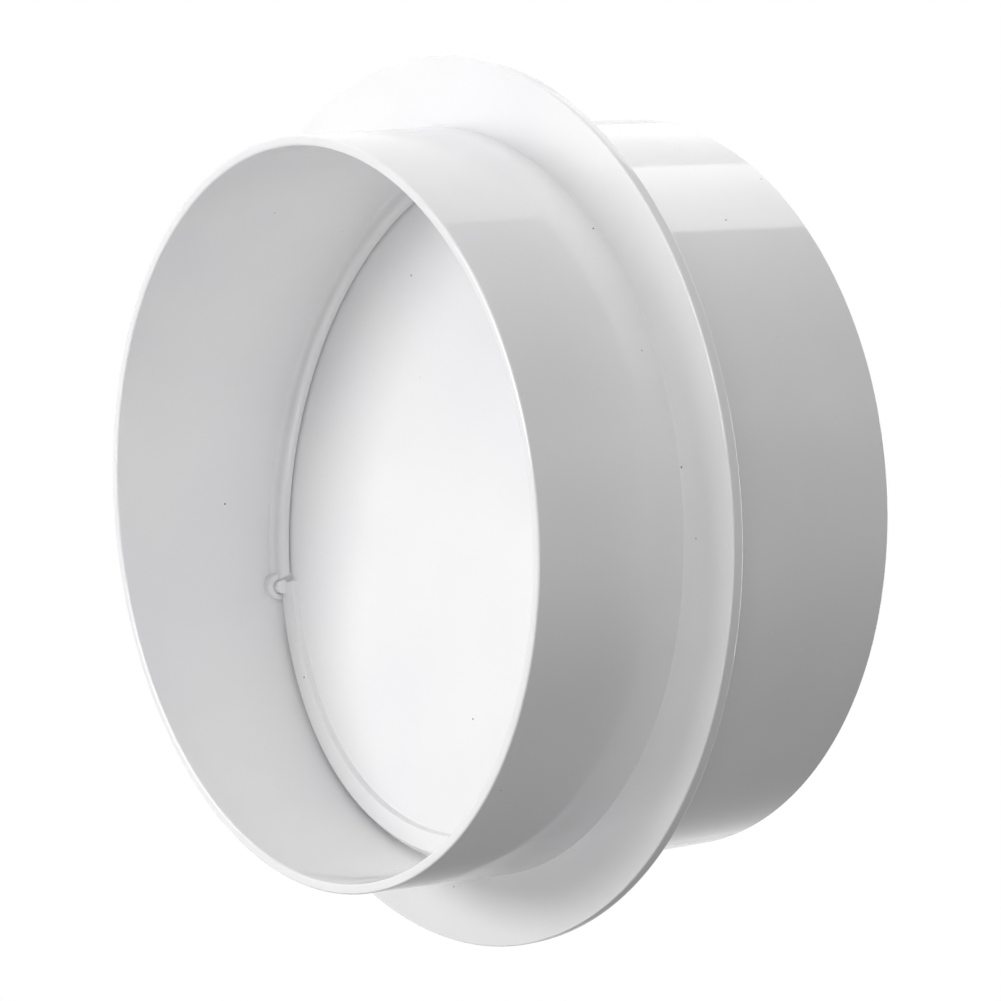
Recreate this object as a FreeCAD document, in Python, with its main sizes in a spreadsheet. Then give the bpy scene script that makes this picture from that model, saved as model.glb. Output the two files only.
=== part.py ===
import FreeCAD, Part
import math
import os

import Sketcher
from FreeCAD import Placement, Rotation, Vector

# Round duct backdraft damper: a moulded casing with two spigots and a flange, and a flap on a high pivot.
# +Y runs along the duct with the air, +Z is up, and the origin is on the axis in the flange's far face.
# The two half-ring seats lie in a plane that leans by seat_tilt, so that the flap's weight holds it shut.

SIZES = [
    ("spigot_d", 148.0, "outside diameter of the near spigot"),
    ("far_step", 1.2, "far spigot's outside beyond the near one's, on the radius"),
    ("wall", 2.0, "wall of the spigots at their mouths"),
    ("near_length", 33.0, "near spigot, from its mouth to the flange"),
    ("far_length", 48.2, "far spigot, from the flange to its mouth"),
    ("bore_straight", 24.0, "straight part of the bore behind the flange, before it widens"),
    ("flange_d", 178.0, "outside diameter of the flange"),
    ("flange_thick", 2.4, "thickness of the flange"),
    ("root_fillet", 1.5, "fillet between a spigot and the flange"),
    ("near_bevel", 1.0, "bevel on the flange's near edge"),
    ("far_bevel", 0.4, "bevel on the flange's far edge"),
    ("mouth_bevel", 0.35, "bevel on the edges of both mouths"),
    ("seat_offset", 5.5, "from the flange's far face to the front seat's rear plane, along the axis"),
    ("seat_tilt", 9.7, "lean of the seats, in degrees"),
    ("seat_height", 3.6, "height of the front seat above the bore"),
    ("seat_thick", 2.0, "thickness of the front seat"),
    ("seat_round", 1.4, "round on the front seat's inner edge"),
    ("seat_root", 0.8, "fillet between the front seat and the bore"),
    ("seat_drop", 0.7, "front seat's centre below the axis, along the slope"),
    ("front_clear", 2.2, "from the pivot to the ends of the front seat"),
    ("rear_thick", 2.0, "thickness of the rear seat"),
    ("rear_clear", 6.0, "from the pivot to the ends of the rear seat"),
    ("seat_gap", 0.4, "play between the shut flap and each seat"),
    ("disc_gap", 2.4, "from the flap's long side to the bore"),
    ("flap_thick", 1.6, "thickness of the flap"),
    ("rim_gap", 1.2, "from the flap's short side to the bore"),
    ("rim_lift", 1.1, "rim's centre above the axis, along the slope"),
    ("rim_width", 4.2, "width of the rim"),
    ("rim_rise", 1.15, "height of the rim above the disc"),
    ("rim_slope", 0.5, "run of the step from the rim down to the disc"),
    ("rim_bevel", 0.4, "bevel on the rim's outer edge"),
    ("step_wall", 1.0, "wall of the step behind the rim"),
    ("step_gap", 0.7, "from the step to the rear seat"),
    ("pivot_up", 18.8, "pivot above the axis, along the slope"),
    ("pivot_out", 1.5, "pivot in front of the front seat's rear plane"),
    ("pin_d", 2.8, "diameter of the flap's pins"),
    ("pin_play", 0.1, "radial play of a pin in its hook"),
    ("pin_end_gap", 0.25, "play at the outer end of a pin"),
    ("hook_wall", 1.3, "wall of a hook around its eye"),
    ("hook_length", 1.9, "length of a hook inwards from the bore"),
    ("hook_gap", 0.35, "from a hook to the notch in the flap"),
    ("hook_bevel", 0.4, "bevel around a hook's inner face"),
    ("eye_skin", 0.2, "from the end of a hook's eye to the bore"),
    ("throat_width", 2.6, "width of the slot that a pin snaps in through"),
    ("throat_angle", 39.0, "lean of that slot towards the front seat, in degrees"),
    ("throat_reach", 6.0, "length of that slot from the pivot"),
    ("root_length", 1.0, "length of a pin's root on the flap"),
    ("root_gap", 0.3, "from the flap's edge to a hook"),
    ("web_thick", 1.8, "thickness of the web between a pin's root and the flap"),
    ("web_inset", 0.3, "from a pin's inner end to its web"),
]

TILT = "seat_tilt * 1 deg"
DERIVED = [
    ("spigot_r", "spigot_d / 2"),
    ("bore_r", "spigot_r - wall"),
    ("mid_wall_r", "bore_r + wall / 2"),
    ("far_r", "spigot_r + far_step"),
    ("far_bore_r", "far_r - wall"),
    ("flange_r", "flange_d / 2"),
    ("near_end", "near_length + flange_thick"),
    ("seat_r", "bore_r - seat_height"),
    ("seat_reach_r", "(spigot_r + seat_drop + rim_lift) / cos(%s)" % TILT),
    ("disc_r", "bore_r - disc_gap"),
    ("disc_back", "seat_gap + flap_thick"),
    ("rim_r", "bore_r - rim_gap"),
    ("rim_inner_r", "rim_r - rim_width"),
    ("step_r", "rim_inner_r + step_wall"),
    ("rim_front", "seat_gap - rim_rise"),
    ("rim_back", "rim_front + flap_thick"),
    ("rear_front", "rim_back + seat_gap"),
    ("rear_r", "step_r + step_gap"),
    ("pin_r", "pin_d / 2"),
    ("eye_r", "pin_r + pin_play"),
    ("hook_r", "eye_r + hook_wall"),
    ("notch_r", "hook_r + hook_gap"),
    ("pivot_y", "seat_offset - pivot_up * sin(%s) - pivot_out * cos(%s)" % (TILT, TILT)),
    ("pivot_z", "pivot_up * cos(%s) - pivot_out * sin(%s)" % (TILT, TILT)),
    ("half_chord", "sqrt(bore_r ^ 2 - pivot_z ^ 2)"),
    ("hook_face", "half_chord - hook_length"),
    ("eye_floor", "half_chord - eye_skin"),
    ("pin_end", "eye_floor - pin_end_gap"),
    ("root_end", "hook_face - root_gap"),
    ("root_start", "root_end - root_length"),
    ("notch_foot", "pivot_up - notch_r"),
    ("rim_foot", "pivot_up - pin_r"),
    ("front_sweep", "360 deg - 2 * acos((pivot_up - front_clear + seat_drop) / seat_r)"),
    ("rear_sweep", "2 * acos((pivot_up + rear_clear - rim_lift) / rear_r)"),
    ("rim_sweep", "2 * acos((rim_foot - rim_lift) / rim_inner_r)"),
]

doc = FreeCAD.newDocument("BackdraftDamper")
sheet = doc.addObject("Spreadsheet::Sheet", "Sizes")
for row, (alias, value, note) in enumerate(SIZES, 1):
    sheet.set("A%d" % row, alias)
    sheet.set("B%d" % row, str(value))
    sheet.set("C%d" % row, note)
    sheet.setAlias("B%d" % row, alias)
doc.recompute()
for row, (alias, formula) in enumerate(DERIVED, len(SIZES) + 2):
    sheet.set("A%d" % row, alias)
    sheet.set("B%d" % row, "=" + formula)
    sheet.setAlias("B%d" % row, alias)
    doc.recompute()


def size(expression):
    """Present value of an expression of the sheet's cells."""
    result = sheet.evalExpression(expression)
    return float(getattr(result, "Value", result))


def origin_feature(body, role):
    for feature in body.Origin.OriginFeatures:
        if feature.Role == role:
            return feature
    raise ValueError(role)


def add_sketch(body, name, role, x="0", y="0", z="0", turn=None):
    """Sketch on one of the body's own planes, shifted along that plane's axes and turned in it."""
    sketch = body.newObject("Sketcher::SketchObject", name)
    sketch.AttachmentSupport = [(origin_feature(body, role), "")]
    sketch.MapMode = "FlatFace"
    if turn:
        sketch.AttachmentOffset = Placement(Vector(), Rotation(Vector(0, 0, 1), 1))
        sketch.setExpression("AttachmentOffset.Rotation.Angle", turn)
    for axis, shift in zip("xyz", (x, y, z)):
        if shift != "0":
            sketch.setExpression("AttachmentOffset.Base." + axis, shift)
    return sketch


def dimension(sketch, kind, *geometry, by):
    """Driving dimension of a sketch, bound to an expression."""
    index = sketch.addConstraint(Sketcher.Constraint(kind, *geometry, size(by)))
    sketch.setExpression("Constraints[%d]" % index, by)


def place_point(sketch, geometry, point, x, y):
    dimension(sketch, "DistanceX", -1, 1, geometry, point, by=x)
    dimension(sketch, "DistanceY", -1, 1, geometry, point, by=y)


def draw_polygon(sketch, corners):
    points = [Vector(size(x), size(y), 0) for x, y in corners]
    count = len(points)
    for i in range(count):
        sketch.addGeometry(Part.LineSegment(points[i], points[(i + 1) % count]), False)
    for i in range(count):
        sketch.addConstraint(Sketcher.Constraint("Coincident", i, 2, (i + 1) % count, 1))
    for i, (x, y) in enumerate(corners):
        place_point(sketch, i, 1, x, y)


def draw_circle(sketch, x, y, radius):
    centre = Vector(size(x), size(y), 0)
    circle = sketch.addGeometry(Part.Circle(centre, Vector(0, 0, 1), size(radius)), False)
    place_point(sketch, circle, 3, x, y)
    dimension(sketch, "Radius", circle, by=radius)


def revolve(body, kind, name, sketch, axis, angle="360 deg"):
    feature = body.newObject("PartDesign::" + kind, name)
    feature.Profile = sketch
    feature.ReferenceAxis = (sketch, [axis])
    feature.setExpression("Angle", angle)
    feature.Midplane = True
    doc.recompute()
    return feature


def extrude(body, kind, name, sketch, length, reverse=False):
    feature = body.newObject("PartDesign::" + kind, name)
    feature.Profile = sketch
    feature.setExpression("Length", length)
    feature.Reversed = reverse
    doc.recompute()
    return feature


def ease_edges(body, kind, name, base, amount, wanted):
    """Fillet or chamfer on every edge of the base feature that wanted() picks."""
    names = ["Edge%d" % i for i, edge in enumerate(base.Shape.Edges, 1) if wanted(edge)]
    if not names:
        raise ValueError(name + " finds no edge")
    feature = body.newObject("PartDesign::" + kind, name)
    feature.Base = (base, names)
    feature.setExpression("Radius" if kind == "Fillet" else "Size", amount)
    doc.recompute()
    return feature


def mirror(body, name, originals):
    feature = body.newObject("PartDesign::Mirrored", name)
    feature.Originals = originals
    feature.MirrorPlane = (origin_feature(body, "YZ_Plane"), [""])
    body.Tip = feature
    doc.recompute()
    return feature


def is_ring(edge, radius, along_y):
    """A full circle around the duct's axis."""
    curve = edge.Curve
    return (isinstance(curve, Part.Circle) and math.isclose(curve.Radius, size(radius), abs_tol=1e-4)
            and math.isclose(curve.Center.y, size(along_y), abs_tol=1e-4) and abs(curve.Axis.y) > 0.9999)


def is_root(edge, depth):
    """An edge along the bore in a plane parallel to the seats, depth behind the front seat's rear plane."""
    lean = math.radians(size("Sizes.seat_tilt"))
    normal = Vector(0, math.cos(lean), math.sin(lean))
    base = Vector(0, size("Sizes.seat_offset"), 0)
    points = edge.discretize(9)
    bore = size("Sizes.bore_r")
    return all(math.isclose((point - base).dot(normal), depth, abs_tol=1e-4)
               and math.isclose(math.hypot(point.x, point.z), bore, abs_tol=1e-3) for point in points)


def sloped(shift):
    """Offset of a point of the seats' plane from the flange's far face: along the duct, then up."""
    along = "Sizes.seat_offset - (%s) * sin(Sizes.seat_tilt * 1 deg)" % shift
    up = "(%s) * cos(Sizes.seat_tilt * 1 deg)" % shift
    return along, up


LEAN = "Sizes.seat_tilt * 1 deg"
FRONT_CENTRE = sloped("-Sizes.seat_drop")
REAR_CENTRE = sloped("Sizes.rim_lift")

# Casing
casing = doc.addObject("PartDesign::Body", "Casing")
casing.Label = "casing"
casing.AllowCompound = True

# The seats' sections are drawn across the slope: first axis through the seat with the air, second up it.
front_sketch = add_sketch(casing, "FrontSeatSection", "YZ_Plane", *FRONT_CENTRE, turn=LEAN)
draw_polygon(front_sketch, [
    ("0", "-Sizes.seat_r"),
    ("-Sizes.seat_thick", "-Sizes.seat_r"),
    ("-Sizes.seat_thick", "-Sizes.seat_reach_r"),
    ("0", "-Sizes.seat_reach_r"),
])
front_seat = revolve(casing, "Revolution", "FrontSeat", front_sketch, "H_Axis", "Sizes.front_sweep")
inner_radius = size("Sizes.seat_r")
middle_y = size("Sizes.seat_offset - Sizes.seat_thick / 2")
front_round = ease_edges(
    casing, "Fillet", "FrontSeatRound", front_seat, "Sizes.seat_round",
    lambda edge: isinstance(edge.Curve, Part.Circle) and edge.Curve.Center.y < middle_y
    and math.isclose(edge.Curve.Radius, inner_radius, abs_tol=1e-4))

rear_sketch = add_sketch(casing, "RearSeatSection", "YZ_Plane", *REAR_CENTRE, turn=LEAN)
draw_polygon(rear_sketch, [
    ("Sizes.rear_front", "Sizes.rear_r"),
    ("Sizes.rear_front + Sizes.rear_thick", "Sizes.rear_r"),
    ("Sizes.rear_front + Sizes.rear_thick", "Sizes.seat_reach_r"),
    ("Sizes.rear_front", "Sizes.seat_reach_r"),
])
rear_seat = revolve(casing, "Revolution", "RearSeat", rear_sketch, "H_Axis", "Sizes.rear_sweep")

# Both seats end inside the spigots' wall.
trim_sketch = add_sketch(casing, "SeatTrimSection", "XY_Plane")
draw_polygon(trim_sketch, [
    ("Sizes.mid_wall_r", "-Sizes.near_end"),
    ("2 * Sizes.seat_reach_r", "-Sizes.near_end"),
    ("2 * Sizes.seat_reach_r", "Sizes.far_length"),
    ("Sizes.mid_wall_r", "Sizes.far_length"),
])
seat_trim = revolve(casing, "Groove", "SeatTrim", trim_sketch, "V_Axis")

shell_sketch = add_sketch(casing, "ShellSection", "XY_Plane")
draw_polygon(shell_sketch, [
    ("Sizes.bore_r", "-Sizes.near_end"),
    ("Sizes.spigot_r", "-Sizes.near_end"),
    ("Sizes.spigot_r", "-Sizes.flange_thick"),
    ("Sizes.flange_r", "-Sizes.flange_thick"),
    ("Sizes.flange_r", "0"),
    ("Sizes.far_r", "0"),
    ("Sizes.far_r", "Sizes.far_length"),
    ("Sizes.far_bore_r", "Sizes.far_length"),
    ("Sizes.bore_r", "Sizes.bore_straight"),
])
shell = revolve(casing, "Revolution", "Shell", shell_sketch, "V_Axis")

roots = ease_edges(casing, "Fillet", "FlangeRoots", shell, "Sizes.root_fillet", lambda edge: (
    is_ring(edge, "Sizes.spigot_r", "-Sizes.flange_thick") or is_ring(edge, "Sizes.far_r", "0")))
near_rim = ease_edges(casing, "Chamfer", "FlangeNearRim", roots, "Sizes.near_bevel", lambda edge: (
    is_ring(edge, "Sizes.flange_r", "-Sizes.flange_thick")))
far_rim = ease_edges(casing, "Chamfer", "FlangeFarRim", near_rim, "Sizes.far_bevel", lambda edge: (
    is_ring(edge, "Sizes.flange_r", "0")))
MOUTH_RINGS = [
    ("Sizes.spigot_r", "-Sizes.near_end"),
    ("Sizes.bore_r", "-Sizes.near_end"),
    ("Sizes.far_r", "Sizes.far_length"),
    ("Sizes.far_bore_r", "Sizes.far_length"),
]
mouths = ease_edges(casing, "Chamfer", "Mouths", far_rim, "Sizes.mouth_bevel", lambda edge: any(
    is_ring(edge, radius, end) for radius, end in MOUTH_RINGS))

seat_root_edges = ease_edges(casing, "Fillet", "FrontSeatRoot", mouths, "Sizes.seat_root", lambda edge: (
    is_root(edge, -size("Sizes.seat_thick"))))

# Hooks: a short tube around each pin, slotted so that the pin snaps in past the end of the front seat.
hook_sketch = add_sketch(casing, "HookSection", "XY_Plane", y="Sizes.pivot_y", z="Sizes.pivot_z")
draw_polygon(hook_sketch, [
    ("Sizes.hook_face", "0"),
    ("Sizes.half_chord + Sizes.wall / 2", "0"),
    ("Sizes.half_chord + Sizes.wall / 2", "Sizes.hook_r"),
    ("Sizes.hook_face + Sizes.hook_bevel", "Sizes.hook_r"),
    ("Sizes.hook_face", "Sizes.hook_r - Sizes.hook_bevel"),
])
hook = revolve(casing, "Revolution", "Hook", hook_sketch, "H_Axis")

eye_sketch = add_sketch(
    casing, "EyeSection", "YZ_Plane", "Sizes.pivot_y", "Sizes.pivot_z", "Sizes.root_start")
draw_circle(eye_sketch, "0", "0", "Sizes.eye_r")
eye = extrude(casing, "Pocket", "Eye", eye_sketch, "Sizes.eye_floor - Sizes.root_start", reverse=True)

# The slot is drawn along its own length, from the pivot outwards.
throat_sketch = add_sketch(
    casing, "ThroatSection", "YZ_Plane", "Sizes.pivot_y", "Sizes.pivot_z", "Sizes.root_start",
    turn="(Sizes.seat_tilt - Sizes.throat_angle) * 1 deg")
draw_polygon(throat_sketch, [
    ("0", "-Sizes.throat_width / 2"),
    ("Sizes.throat_reach", "-Sizes.throat_width / 2"),
    ("Sizes.throat_reach", "Sizes.throat_width / 2"),
    ("0", "Sizes.throat_width / 2"),
])
throat = extrude(
    casing, "Pocket", "Throat", throat_sketch, "Sizes.eye_floor - Sizes.root_start", reverse=True)
hooks = mirror(casing, "Hooks", [hook, eye, throat])

# Flap, drawn square to its own plane: X across, Y through it with the air, Z up the slope.
flap = doc.addObject("PartDesign::Body", "Flap")
flap.Label = "flap"
flap.Placement = Placement(Vector(), Rotation(Vector(1, 0, 0), 1))
flap.setExpression("Placement.Base.y", "Sizes.seat_offset")
flap.setExpression("Placement.Rotation.Angle", LEAN)

# The disc is wider below the pivot, where it closes on the front seat.
disc_sketch = add_sketch(flap, "DiscOutline", "XZ_Plane", z="-Sizes.seat_gap")
foot = size("Sizes.notch_foot")
long_centre = Vector(0, -size("Sizes.seat_drop"), 0)
short_centre = Vector(0, size("Sizes.rim_lift"), 0)
long_x = math.sqrt(size("Sizes.disc_r") ** 2 - (foot - long_centre.y) ** 2)
short_x = math.sqrt(size("Sizes.step_r") ** 2 - (foot - short_centre.y) ** 2)


def arc_about(centre, radius, start, end):
    angles = [math.atan2(p.y - centre.y, p.x - centre.x) for p in (start, end)]
    return Part.ArcOfCircle(Part.Circle(centre, Vector(0, 0, 1), radius), *angles)


long_arc = disc_sketch.addGeometry(arc_about(
    long_centre, size("Sizes.disc_r"), Vector(-long_x, foot, 0), Vector(long_x, foot, 0)), False)
right_step = disc_sketch.addGeometry(
    Part.LineSegment(Vector(long_x, foot, 0), Vector(short_x, foot, 0)), False)
short_arc = disc_sketch.addGeometry(arc_about(
    short_centre, size("Sizes.step_r"), Vector(short_x, foot, 0), Vector(-short_x, foot, 0)), False)
left_step = disc_sketch.addGeometry(
    Part.LineSegment(Vector(-short_x, foot, 0), Vector(-long_x, foot, 0)), False)
outline = [long_arc, right_step, short_arc, left_step]
for first, second in zip(outline, outline[1:] + outline[:1]):
    disc_sketch.addConstraint(Sketcher.Constraint("Coincident", first, 2, second, 1))
for step in (right_step, left_step):
    disc_sketch.addConstraint(Sketcher.Constraint("Horizontal", step))
    dimension(disc_sketch, "DistanceY", -1, 1, step, 1, by="Sizes.notch_foot")
ARCS = [(long_arc, "Sizes.disc_r", "-Sizes.seat_drop"), (short_arc, "Sizes.step_r", "Sizes.rim_lift")]
for arc, radius, height in ARCS:
    disc_sketch.addConstraint(Sketcher.Constraint("PointOnObject", arc, 3, -2))
    dimension(disc_sketch, "DistanceY", -1, 1, arc, 3, by=height)
    dimension(disc_sketch, "Radius", arc, by=radius)
disc = extrude(flap, "Pad", "Disc", disc_sketch, "Sizes.flap_thick", reverse=True)

# The rim stands forward of the disc above the pivot, where it closes on the rear seat.
rim_sketch = add_sketch(flap, "RimSection", "YZ_Plane", y="Sizes.rim_lift")
draw_polygon(rim_sketch, [
    ("Sizes.rim_front", "Sizes.rim_inner_r"),
    ("Sizes.rim_front", "Sizes.rim_r - Sizes.rim_bevel"),
    ("Sizes.rim_front + Sizes.rim_bevel", "Sizes.rim_r"),
    ("Sizes.rim_back", "Sizes.rim_r"),
    ("Sizes.rim_back", "Sizes.rim_inner_r - Sizes.rim_slope"),
    ("Sizes.seat_gap", "Sizes.rim_inner_r - Sizes.rim_slope"),
])
rim = revolve(flap, "Revolution", "Rim", rim_sketch, "H_Axis", "Sizes.rim_sweep")

notch_sketch = add_sketch(flap, "NotchSection", "YZ_Plane", z="Sizes.root_end")
draw_polygon(notch_sketch, [
    ("-Sizes.pivot_out - Sizes.notch_r", "Sizes.notch_foot"),
    ("2 * Sizes.disc_back", "Sizes.notch_foot"),
    ("2 * Sizes.disc_back", "Sizes.pivot_up + Sizes.notch_r"),
    ("-Sizes.pivot_out - Sizes.notch_r", "Sizes.pivot_up + Sizes.notch_r"),
])
notch = extrude(
    flap, "Pocket", "Notch", notch_sketch, "Sizes.wall + Sizes.hook_length + Sizes.root_gap", reverse=True)
notches = mirror(flap, "Notches", [notch])

pin_sketch = add_sketch(flap, "PinSection", "YZ_Plane", z="Sizes.root_start")
draw_circle(pin_sketch, "-Sizes.pivot_out", "Sizes.pivot_up", "Sizes.pin_r")
pin = extrude(flap, "Pad", "Pin", pin_sketch, "Sizes.pin_end - Sizes.root_start")

web_sketch = add_sketch(flap, "WebSection", "YZ_Plane", z="Sizes.root_start + Sizes.web_inset")
draw_polygon(web_sketch, [
    ("-Sizes.pivot_out", "Sizes.pivot_up - Sizes.web_thick / 2"),
    ("Sizes.seat_gap + Sizes.flap_thick / 2", "Sizes.pivot_up - Sizes.web_thick / 2"),
    ("Sizes.seat_gap + Sizes.flap_thick / 2", "Sizes.pivot_up + Sizes.web_thick / 2"),
    ("-Sizes.pivot_out", "Sizes.pivot_up + Sizes.web_thick / 2"),
])
web = extrude(flap, "Pad", "Web", web_sketch, "Sizes.root_length - Sizes.web_inset")
pins = mirror(flap, "Pins", [pin, web])

doc.recompute()
for item in doc.Objects:
    if "Invalid" in item.State or "Error" in item.State:
        raise RuntimeError("%s failed: %s" % (item.Name, item.State))

os.makedirs("parts", exist_ok=True)
for body in (casing, flap):
    shape = body.Shape
    if shape.isNull() or not shape.isValid():
        raise RuntimeError("%s has no valid shape" % body.Label)
    if len(shape.Solids) != 1:
        raise RuntimeError("%s is not one solid" % body.Label)
for body in (casing, flap):
    body.Shape.exportStep("parts/%s.step" % body.Label)
    print(body.Label, round(body.Shape.Volume, 1), "mm3")
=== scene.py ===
import bpy
import math
from mathutils import Matrix, Vector


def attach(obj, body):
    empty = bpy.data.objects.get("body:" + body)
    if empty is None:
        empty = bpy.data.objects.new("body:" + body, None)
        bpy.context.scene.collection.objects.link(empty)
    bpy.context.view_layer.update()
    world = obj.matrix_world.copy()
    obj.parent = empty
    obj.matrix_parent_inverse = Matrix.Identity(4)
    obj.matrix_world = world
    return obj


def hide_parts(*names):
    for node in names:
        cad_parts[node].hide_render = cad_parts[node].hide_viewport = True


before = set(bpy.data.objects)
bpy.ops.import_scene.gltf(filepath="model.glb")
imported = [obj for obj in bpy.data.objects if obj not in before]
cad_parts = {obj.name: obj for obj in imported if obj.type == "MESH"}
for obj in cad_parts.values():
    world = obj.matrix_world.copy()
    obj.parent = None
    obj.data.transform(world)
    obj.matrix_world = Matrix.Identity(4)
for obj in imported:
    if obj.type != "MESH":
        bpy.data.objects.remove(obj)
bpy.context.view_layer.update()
print("frame loaded")

mm = 0.001  # sizes of the pieces are in millimetres, the scene is in metres
perMetre = 1000


def hexToLinear(code):
    # the sRGB curve, with an alpha of 1 added
    parts = [int(code[i:i + 2], 16) / 255 for i in (0, 2, 4)]
    return [p / 12.92 if p <= 0.04045 else ((p + 0.055) / 1.055) ** 2.4 for p in parts] + [1.0]


def addNode(tree, kind, settings=None, **links):
    # settings: properties and input defaults; links: input name or in0, in1 to an output socket
    node = tree.nodes.new(kind)
    for key, value in (settings or {}).items():
        if isinstance(key, str) and hasattr(node, key):
            setattr(node, key, value)
        else:
            node.inputs[key].default_value = value
    for key, socket in links.items():
        name = int(key[2:]) if key.startswith("in") and key[2:].isdigit() else key.replace("_", " ")
        tree.links.new(socket, node.inputs[name])
    return node


# camera at the place and lens found from the photograph, in metres; the part stands upside down there
cameraSizes = {
    "place": (-0.6391, -0.4590, -0.0368),
    "right": (-0.5937, 0.8022, 0.0637),
    "up": (0.0, 0.0792, -0.9969),
    "lens": 141.58, "sensor": 36, "clipStart": 0.01,
}
right = Vector(cameraSizes["right"]).normalized()
up = Vector(cameraSizes["up"])
up = (up - right * up.dot(right)).normalized()
back = right.cross(up)
cameraData = bpy.data.cameras.new("photoCamera")
cameraData.lens = cameraSizes["lens"]
cameraData.sensor_width = cameraSizes["sensor"]
cameraData.clip_start = cameraSizes["clipStart"]
photoCamera = bpy.data.objects.new("photoCamera", cameraData)
photoCamera.matrix_world = Matrix.Translation(cameraSizes["place"]) @ Matrix(
    [[right[i], up[i], back[i]] for i in range(3)]).to_4x4()
bpy.context.scene.collection.objects.link(photoCamera)
bpy.context.scene.camera = photoCamera
print("camera set")

meshing = {
    "sameSpot": 0.01,  # mm, a vertex this near to a named corner belongs to it
    "mergeGap": 0.001,  # mm, doubles left by a spin
    "roundSteps": 5, "smoothAngle": 35.0,
}


def activeMesh(name):
    piece = bpy.context.object
    piece.name = name
    piece.data.name = name
    return piece


def selectOnly(*pieces):
    # the last one becomes active
    bpy.ops.object.select_all(action="DESELECT")
    for piece in pieces:
        piece.select_set(True)
    bpy.context.view_layer.objects.active = pieces[-1]


def turnRings(name, rings, steps):
    # one ring of (radius, along) after another, the last one joined to the first to close the wall
    firstRadius, firstAlong = rings[0]
    bpy.ops.object.select_all(action="DESELECT")
    bpy.ops.mesh.primitive_circle_add(vertices=steps, radius=firstRadius * mm,
                                      location=(0, firstAlong * mm, 0), rotation=(math.pi / 2, 0, 0))
    piece = activeMesh(name)
    bpy.ops.object.transform_apply(location=True, rotation=True)
    bpy.ops.object.mode_set(mode="EDIT")
    bpy.ops.mesh.select_all(action="SELECT")
    for (radius, along), (nextRadius, nextAlong) in zip(rings, rings[1:]):
        growth = nextRadius / radius
        bpy.ops.mesh.extrude_region_move(TRANSFORM_OT_translate={"value": (0, (nextAlong - along) * mm, 0)})
        bpy.ops.transform.resize(value=(growth, 1, growth), center_override=(0, 0, 0))
    bpy.ops.mesh.select_all(action="DESELECT")
    bpy.ops.mesh.select_mode(type="EDGE")
    bpy.ops.mesh.select_non_manifold()
    bpy.ops.mesh.bridge_edge_loops()
    bpy.ops.mesh.select_all(action="SELECT")
    bpy.ops.mesh.normals_make_consistent(inside=False)
    return piece


def roundRings(piece, corners, amount):
    # bevel of whole rings, each named by its radius and place along the duct
    bpy.ops.mesh.select_mode(type="EDGE")
    bpy.ops.mesh.select_all(action="DESELECT")
    bpy.ops.object.mode_set(mode="OBJECT")
    places = [(math.hypot(v.co.x, v.co.z) / mm, v.co.y / mm) for v in piece.data.vertices]
    for edge in piece.data.edges:
        ends = [places[i] for i in edge.vertices]
        edge.select = any(
            all(math.dist(end, corner) < meshing["sameSpot"] for end in ends) for corner in corners)
    bpy.ops.object.mode_set(mode="EDIT")
    bpy.ops.mesh.bevel(offset=amount * mm, segments=meshing["roundSteps"])


def sweepSection(name, corners, rounds, middle, sweep, steps, lift):
    # flat section of (radius, along) corners, spun about Y and then lifted; middle is 0 for the top
    # rounds: a corner's number in the list, and how much is rounded off there
    bpy.ops.object.select_all(action="DESELECT")
    bpy.ops.mesh.primitive_circle_add(vertices=len(corners), radius=mm, fill_type="NGON")
    piece = activeMesh(name)
    for vertex, (radius, along) in zip(piece.data.vertices, corners):
        vertex.co = (0, along * mm, radius * mm)
    for index, amount in rounds:
        radius, along = corners[index]
        corner = Vector((0, along, radius))
        bpy.ops.object.mode_set(mode="EDIT")
        bpy.ops.mesh.select_mode(type="VERT")
        bpy.ops.mesh.select_all(action="DESELECT")
        bpy.ops.object.mode_set(mode="OBJECT")
        for vertex in piece.data.vertices:
            vertex.select = (vertex.co / mm - corner).length < meshing["sameSpot"]
        bpy.ops.object.mode_set(mode="EDIT")
        bpy.ops.mesh.bevel(offset=amount * mm, segments=meshing["roundSteps"], affect="VERTICES")
    bpy.ops.object.mode_set(mode="OBJECT")
    piece.rotation_euler = (0, middle + sweep / 2, 0)
    bpy.ops.object.transform_apply(rotation=True)
    bpy.ops.object.mode_set(mode="EDIT")
    bpy.ops.mesh.select_all(action="SELECT")
    bpy.ops.mesh.spin(steps=steps, angle=sweep, center=(0, 0, 0), axis=(0, 1, 0))
    bpy.ops.mesh.select_all(action="SELECT")
    bpy.ops.mesh.remove_doubles(threshold=meshing["mergeGap"] * mm)
    bpy.ops.mesh.normals_make_consistent(inside=False)
    bpy.ops.object.mode_set(mode="OBJECT")
    piece.location = (0, 0, lift * mm)
    bpy.ops.object.transform_apply(location=True)
    return piece


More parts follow.
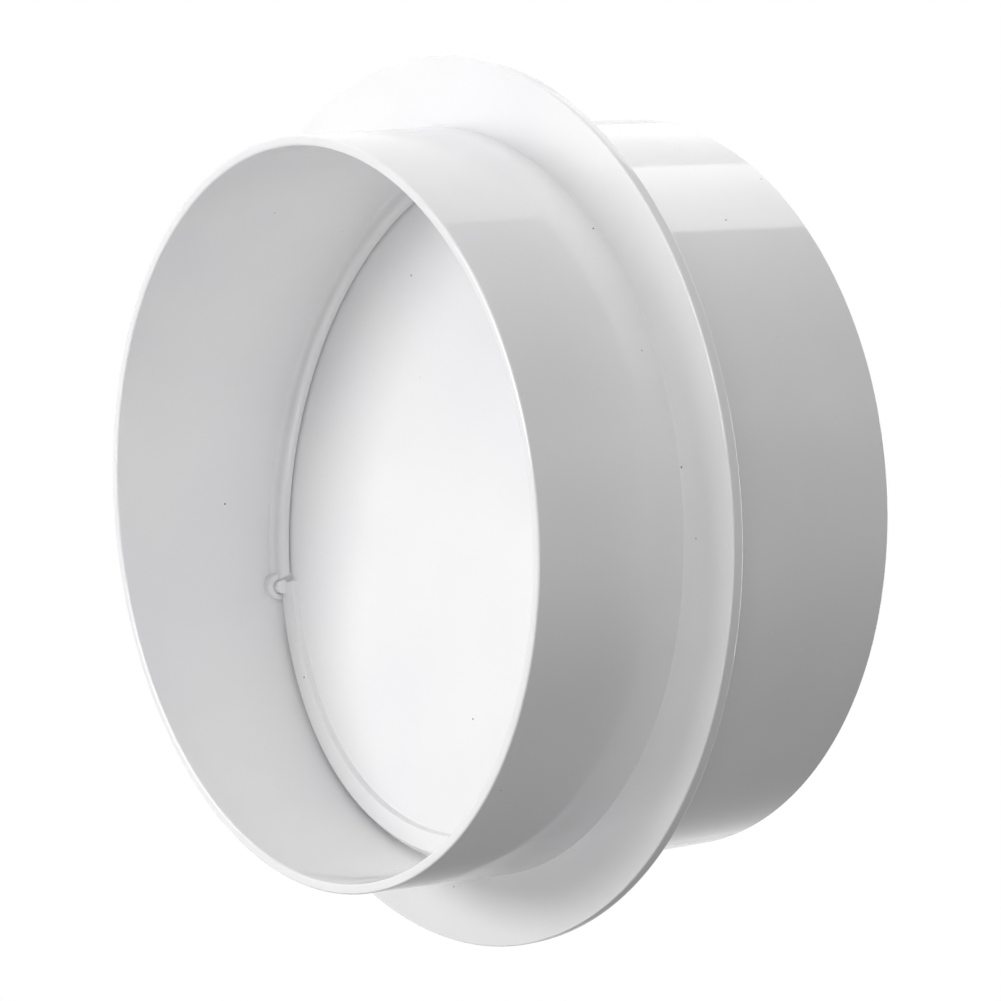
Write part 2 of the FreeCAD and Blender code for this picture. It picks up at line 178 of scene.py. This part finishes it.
# sleeve: both spigots and the flange as one turned wall
sleeveSizes = {
    "bore": 72.0, "nearRadius": 74.0, "nearMouth": -35.4,
    "nearRoot": 74.9,  # the mould's draft makes the spigot a little wider at the flange
    "flangeRadius": 89.0, "flangeNear": -2.4, "flangeFar": 0.0,
    "farRadius": 75.2, "farMouth": 48.2, "farBore": 73.2,
    "boreTurn": 24.0,  # from here the bore widens towards the far mouth
    "lipRound": 0.45, "farLipRound": 0.6, "rootFillet": 0.15, "rimRound": 0.4, "steps": 256,
}
sleeveRings = {
    "nearLipInside": (sleeveSizes["bore"], sleeveSizes["nearMouth"]),
    "nearLipOutside": (sleeveSizes["nearRadius"], sleeveSizes["nearMouth"]),
    "nearRoot": (sleeveSizes["nearRoot"], sleeveSizes["flangeNear"]),
    "flangeRimNear": (sleeveSizes["flangeRadius"], sleeveSizes["flangeNear"]),
    "flangeRimFar": (sleeveSizes["flangeRadius"], sleeveSizes["flangeFar"]),
    "farRoot": (sleeveSizes["farRadius"], sleeveSizes["flangeFar"]),
    "farLipOutside": (sleeveSizes["farRadius"], sleeveSizes["farMouth"]),
    "farLipInside": (sleeveSizes["farBore"], sleeveSizes["farMouth"]),
    "boreTurn": (sleeveSizes["bore"], sleeveSizes["boreTurn"]),
}
sleeveRounds = [
    ("nearLipInside", "nearLipOutside", "lipRound"),
    ("farLipOutside", "farLipInside", "farLipRound"),
    ("nearRoot", "farRoot", "rootFillet"),
    ("flangeRimNear", "flangeRimFar", "rimRound"),
]
casing = turnRings("casingShell", list(sleeveRings.values()), sleeveSizes["steps"])
for firstRing, secondRing, roundName in sleeveRounds:
    roundRings(casing, [sleeveRings[firstRing], sleeveRings[secondRing]], sleeveSizes[roundName])
bpy.ops.object.mode_set(mode="OBJECT")
print("sleeve turned")

# seats: drawn square to their own plane, which then leans back with the flap
seatPlane = {
    "offset": 5.5, "tilt": 9.7, "edge": 0.25,
    "reach": 72.9,  # outer radius of both seats, inside the sleeve's wall
}
frontSeatSizes = {
    "radius": 68.4, "thick": 2.0, "drop": 0.7, "round": 1.4,
    "root": 0.8, "rootRound": 0.6,  # slope that joins the seat's front to the bore
    "end": 16.4, "slant": 0.6, "spare": 1.2,  # slanting end by the hook, cut from a longer sweep
    "steps": 180,
}
rearSeatSizes = {"radius": 68.3, "front": 1.25, "thick": 2.0, "lift": 1.1, "end": 24.8, "steps": 120}
boreRadius = sleeveSizes["bore"]
wallRadius = seatPlane["reach"]

innerRadius = frontSeatSizes["radius"]
frontFace = -frontSeatSizes["thick"]
rootFace = frontFace - frontSeatSizes["root"]
sweepEnd = frontSeatSizes["end"] + frontSeatSizes["spare"]
frontSeat = sweepSection(
    "frontSeat",
    [(innerRadius, 0.0), (innerRadius, frontFace), (boreRadius - frontSeatSizes["root"], frontFace),
     (boreRadius, rootFace), (wallRadius, rootFace), (wallRadius, 0.0)],
    [(1, frontSeatSizes["round"]), (0, seatPlane["edge"]), (2, frontSeatSizes["rootRound"])],
    math.pi, 2 * math.pi - 2 * math.acos((sweepEnd + frontSeatSizes["drop"]) / innerRadius),
    frontSeatSizes["steps"], -frontSeatSizes["drop"])
bpy.ops.object.mode_set(mode="EDIT")
bpy.ops.mesh.select_all(action="SELECT")
bpy.ops.mesh.bisect(plane_co=(0, frontFace / 2 * mm, frontSeatSizes["end"] * mm),
                    plane_no=(0, frontSeatSizes["slant"], 1), use_fill=True, clear_outer=True)
bpy.ops.mesh.select_all(action="SELECT")
bpy.ops.mesh.normals_make_consistent(inside=False)
bpy.ops.object.mode_set(mode="OBJECT")

innerRadius = rearSeatSizes["radius"]
rearFace = rearSeatSizes["front"]
rearBack = rearFace + rearSeatSizes["thick"]
rearSeat = sweepSection(
    "rearSeat",
    [(innerRadius, rearFace), (wallRadius, rearFace), (wallRadius, rearBack), (innerRadius, rearBack)],
    [(0, seatPlane["edge"]), (3, seatPlane["edge"])],
    0.0, 2 * math.acos((rearSeatSizes["end"] - rearSeatSizes["lift"]) / innerRadius),
    rearSeatSizes["steps"], rearSeatSizes["lift"])

for seat in (frontSeat, rearSeat):
    selectOnly(seat)
    seat.rotation_euler = (math.radians(seatPlane["tilt"]), 0, 0)
    seat.location = (0, seatPlane["offset"] * mm, 0)
    bpy.ops.object.transform_apply(location=True, rotation=True)
print("seats swept")

# hooks: open rings on the bore's sides that hold the flap's pins
hookSizes = {
    "pivot": (0.854, 18.278), "eye": 1.5, "radius": 2.8,
    "face": 67.74, "wallEnd": 70.7,  # from the free end to inside the sleeve's wall
    "opening": 76.0, "openingAt": -29.3,  # degrees, the throat that the pin snaps through
    "round": 0.4, "eyeRound": 0.2, "steps": 60,
}
hookLength = hookSizes["wallEnd"] - hookSizes["face"]
pivotY, pivotZ = hookSizes["pivot"]
hook = sweepSection(
    "hook",
    [(hookSizes["eye"], 0.0), (hookSizes["radius"], 0.0),
     (hookSizes["radius"], hookLength), (hookSizes["eye"], hookLength)],
    [(1, hookSizes["round"]), (0, hookSizes["eyeRound"])],
    math.pi, 2 * math.pi - math.radians(hookSizes["opening"]), hookSizes["steps"], 0.0)
# the section was spun about Y with its gap at +Z: Y becomes X, and the gap turns to the throat's direction
selectOnly(hook)
hookPlace = Matrix.Translation((hookSizes["face"] * mm, pivotY * mm, pivotZ * mm))
throatTurn = Matrix.Rotation(math.radians(hookSizes["openingAt"]) - math.pi / 2, 4, "X")
hook.matrix_world = hookPlace @ throatTurn @ Matrix.Rotation(-math.pi / 2, 4, "Z")
bpy.ops.object.transform_apply(location=True, rotation=True)
mirror = hook.modifiers.new("otherSide", "MIRROR")
bpy.ops.object.modifier_apply(modifier=mirror.name)
print("hooks made")

selectOnly(frontSeat, rearSeat, hook, casing)
bpy.ops.object.join()
bpy.ops.object.shade_smooth_by_angle(angle=math.radians(meshing["smoothAngle"]))
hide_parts("casing")
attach(casing, "casing")
print("casing joined")

casingAbs = {
    "colour": "F0F0F0", "flowColour": "EBEAEC", "flowMm": 45.0,  # cloudy tint left by the melt's flow
    "gloss": 0.05, "dull": 0.10, "dullMm": 2.5,  # roughness between polished and slightly rubbed spots
    "peelMm": 7.0, "peelDepthMm": 0.004,  # orange-peel of a moulded wall
    "grainMm": 0.5, "grainDepthMm": 0.0005,  # finest unevenness, breaks up the edges of reflections
    "flowRange": (0.35, 0.65), "dullRange": (0.3, 0.7),  # part of the noise that the change is spread over
    "detail": {"flow": 2.0, "dull": 4.0, "peel": 1.0, "grain": 2.0},  # octaves of each noise
    "speckColour": "6A6862", "speckMm": 3.0,  # burnt specks in the resin, and the cell that may hold one
    "speckSize": 0.085, "speckCore": 0.6,  # radius as a share of the cell, and the dark core's share of it
    "speckShare": 0.975,  # share of the cells that stay clean
    "ior": 1.53,
}
flapAbs = dict(casingAbs, colour="F3F3F3", flowColour="EEEDEF", flowMm=60.0)
flapAbs.update(gloss=0.24, dull=0.27, dullMm=9.0)  # the flap is less polished than the sleeve


def makeAbs(name, sizes):
    # white ABS, injection moulded in a polished tool: a hard gloss that mirrors the lamps, faintly rippled
    material = bpy.data.materials.new(name)
    material.use_nodes = True
    tree = material.node_tree
    shader = tree.nodes["Principled BSDF"]
    shader.inputs["IOR"].default_value = sizes["ior"]
    spot = addNode(tree, "ShaderNodeTexCoord").outputs["Object"]
    clouds = {}  # one noise for each kind of unevenness, its scale from the real size in mm
    for kind, detail in sizes["detail"].items():
        clouds[kind] = addNode(tree, "ShaderNodeTexNoise", {
            "Scale": perMetre / sizes[kind + "Mm"], "Detail": detail}, Vector=spot).outputs["Fac"]

    # colour: flow tint with specks; a colour mix has its colours at inputs 6 and 7 and output 2
    flowFrom, flowTo = sizes["flowRange"]
    flow = addNode(tree, "ShaderNodeMapRange", {"From Min": flowFrom, "From Max": flowTo},
                   Value=clouds["flow"])
    tint = addNode(tree, "ShaderNodeMix", {
        "data_type": "RGBA", 6: hexToLinear(sizes["colour"]), 7: hexToLinear(sizes["flowColour"])},
        in0=flow.outputs[0])
    cells = addNode(tree, "ShaderNodeTexVoronoi", {"Scale": perMetre / sizes["speckMm"]}, Vector=spot)
    draw = addNode(tree, "ShaderNodeSeparateColor", None, Color=cells.outputs["Color"])
    chosen = addNode(tree, "ShaderNodeMath", {"operation": "GREATER_THAN", 1: sizes["speckShare"]},
                     in0=draw.outputs[0])
    within = addNode(tree, "ShaderNodeMapRange", {
        "From Min": sizes["speckSize"], "From Max": sizes["speckSize"] * sizes["speckCore"]},
        Value=cells.outputs["Distance"])
    speck = addNode(tree, "ShaderNodeMath", {"operation": "MULTIPLY"},
                    in0=chosen.outputs[0], in1=within.outputs[0])
    colour = addNode(tree, "ShaderNodeMix", {"data_type": "RGBA", 7: hexToLinear(sizes["speckColour"])},
                     in0=speck.outputs[0], in6=tint.outputs[2])
    tree.links.new(colour.outputs[2], shader.inputs["Base Color"])

    dullFrom, dullTo = sizes["dullRange"]
    rough = addNode(tree, "ShaderNodeMapRange", {
        "From Min": dullFrom, "From Max": dullTo, "To Min": sizes["gloss"], "To Max": sizes["dull"]},
        Value=clouds["dull"])
    tree.links.new(rough.outputs[0], shader.inputs["Roughness"])

    peel = addNode(tree, "ShaderNodeBump", {"Distance": sizes["peelDepthMm"] / perMetre},
                   Height=clouds["peel"])
    grain = addNode(tree, "ShaderNodeBump", {"Distance": sizes["grainDepthMm"] / perMetre},
                    Height=clouds["grain"], Normal=peel.outputs[0])
    tree.links.new(grain.outputs[0], shader.inputs["Normal"])
    return material


looks = {"casing": makeAbs("casingMouldedAbs", casingAbs), "flap": makeAbs("flapMouldedAbs", flapAbs)}
for nodeName, look in looks.items():
    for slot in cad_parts[nodeName].material_slots:
        slot.material = look
casing.data.materials.append(looks["casing"])
print("materials set")

# studio: a pale floor that fades into a white cyclorama under a grey ceiling, in metres
studio = {
    "floorDrop": 0.30, "floorRadius": 1.2, "floorSteps": 96, "floorColour": "F4F4F4", "floorRough": 0.8,
    "fadeFrom": 0.35, "fadeTo": 1.15,
    "wallColour": "FFFFFF", "fill": 0.24,  # how bright the wall is as a light
    "wallTop": 0.2, "ceilingFrom": 0.75,  # heights, as the Z of a direction
    "ceiling": 0.25,  # how bright the ceiling is beside the wall
}
bpy.ops.object.select_all(action="DESELECT")
bpy.ops.mesh.primitive_circle_add(vertices=studio["floorSteps"], radius=studio["floorRadius"],
                                  fill_type="NGON", location=(0, 0, -studio["floorDrop"]))
floor = activeMesh("floor")
floorMaterial = bpy.data.materials.new("paleFloor")  # matt paint, no mirror image of the part
floorMaterial.use_nodes = True
tree = floorMaterial.node_tree
floorShader = tree.nodes["Principled BSDF"]
floorShader.inputs["Base Color"].default_value = hexToLinear(studio["floorColour"])
floorShader.inputs["Roughness"].default_value = studio["floorRough"]
spot = addNode(tree, "ShaderNodeTexCoord").outputs["Object"]
away = addNode(tree, "ShaderNodeVectorMath", {"operation": "LENGTH"}, in0=spot).outputs["Value"]
fade = addNode(tree, "ShaderNodeMapRange", {
    "interpolation_type": "SMOOTHSTEP", "From Min": studio["fadeFrom"], "From Max": studio["fadeTo"]},
    Value=away)
clear = addNode(tree, "ShaderNodeBsdfTransparent")
blend = addNode(tree, "ShaderNodeMixShader", None,
                in0=fade.outputs[0], in1=floorShader.outputs[0], in2=clear.outputs[0])
tree.links.new(blend.outputs[0], tree.nodes["Material Output"].inputs["Surface"])
floor.data.materials.append(floorMaterial)

world = bpy.data.worlds.new("studioWorld")
bpy.context.scene.world = world
world.use_nodes = True
tree = world.node_tree
tree.nodes.clear()
direction = addNode(tree, "ShaderNodeTexCoord").outputs["Generated"]
height = addNode(tree, "ShaderNodeSeparateXYZ", None, Vector=direction).outputs["Z"]
wall = addNode(tree, "ShaderNodeMapRange", {
    "interpolation_type": "SMOOTHSTEP", "From Min": studio["wallTop"], "From Max": studio["ceilingFrom"],
    "To Min": 1.0, "To Max": studio["ceiling"]}, Value=height).outputs[0]
lightPath = addNode(tree, "ShaderNodeLightPath")
seen = lightPath.outputs["Is Camera Ray"]  # white for the camera and for what mirrors it, dimmer as a light
for rayKind in ("Is Glossy Ray", "Is Transmission Ray"):
    seen = addNode(tree, "ShaderNodeMath", {"operation": "MAXIMUM"},
                   in0=seen, in1=lightPath.outputs[rayKind]).outputs[0]
strength = addNode(tree, "ShaderNodeMapRange", {"To Min": studio["fill"], "To Max": 1.0}, Value=seen)
level = addNode(tree, "ShaderNodeMath", {"operation": "MULTIPLY"}, in0=wall, in1=strength.outputs[0])
backdrop = addNode(tree, "ShaderNodeBackground", {"Color": hexToLinear(studio["wallColour"])},
                   Strength=level.outputs[0])
addNode(tree, "ShaderNodeOutputWorld", None, Surface=backdrop.outputs[0])


def addSoftbox(name, place, target, width, height, watts):
    data = bpy.data.lights.new(name, "AREA")
    data.shape = "RECTANGLE"
    data.size = width
    data.size_y = height
    data.energy = watts
    box = bpy.data.objects.new(name, data)
    aim = Vector(target) - Vector(place)
    box.matrix_world = Matrix.Translation(place) @ aim.to_track_quat("-Z", "Y").to_matrix().to_4x4()
    box.visible_camera = False
    bpy.context.scene.collection.objects.link(box)


# name: place, aim, width, height, watts
# the photograph's light comes from the picture's top, which is below the part, so the low ones face up
onPart = (0.0, 0.0, 0.0)
lamps = {
    "lowBox": ((0.35, 0.45, -0.29), (0.35, 0.45, 0.0), 0.8, 1.2, 2.5),
    "sideBox": ((-0.175, -0.16, -0.285), (-0.175, -0.16, 0.0), 0.25, 0.48, 0.34),
    "frontBox": ((0.45, -0.95, -0.14), onPart, 0.6, 0.24, 5.8),
    "leftBox": ((0.6, -0.6, 0.7), onPart, 0.8, 0.8, 1.6),
    "highBox": ((-0.45, -0.85, 0.6), onPart, 0.8, 0.8, 1.6),
    "cameraBox": ((-0.9, -0.64, 0.2), onPart, 0.5, 0.5, 1.6),
    "backBox": ((0.0, 1.2, 0.15), onPart, 0.6, 0.6, 5.0),  # for the far mouth, unseen from the front
}
# strips with one common edge, brightest there: the band on the far spigot mirrors them
strips = {
    "edge": -0.05, "ends": (-0.01, 0.02, 0.06, 0.12), "along": 0.28, "length": 0.25, "drop": -0.289,
    "glow": 0.85,  # brightness of each strip, where the white wall is 1
}
for number, end in enumerate(strips["ends"]):
    width = end - strips["edge"]
    middleX = strips["edge"] + width / 2
    place = (middleX, strips["along"], strips["drop"])
    watts = math.pi * width * strips["length"] * strips["glow"]
    lamps["strip%d" % number] = (place, (middleX, strips["along"], 0.0), width, strips["length"], watts)
for lampName, lamp in lamps.items():
    addSoftbox(lampName, *lamp)

bpy.context.scene.view_settings.view_transform = "Standard"
print("studio set")
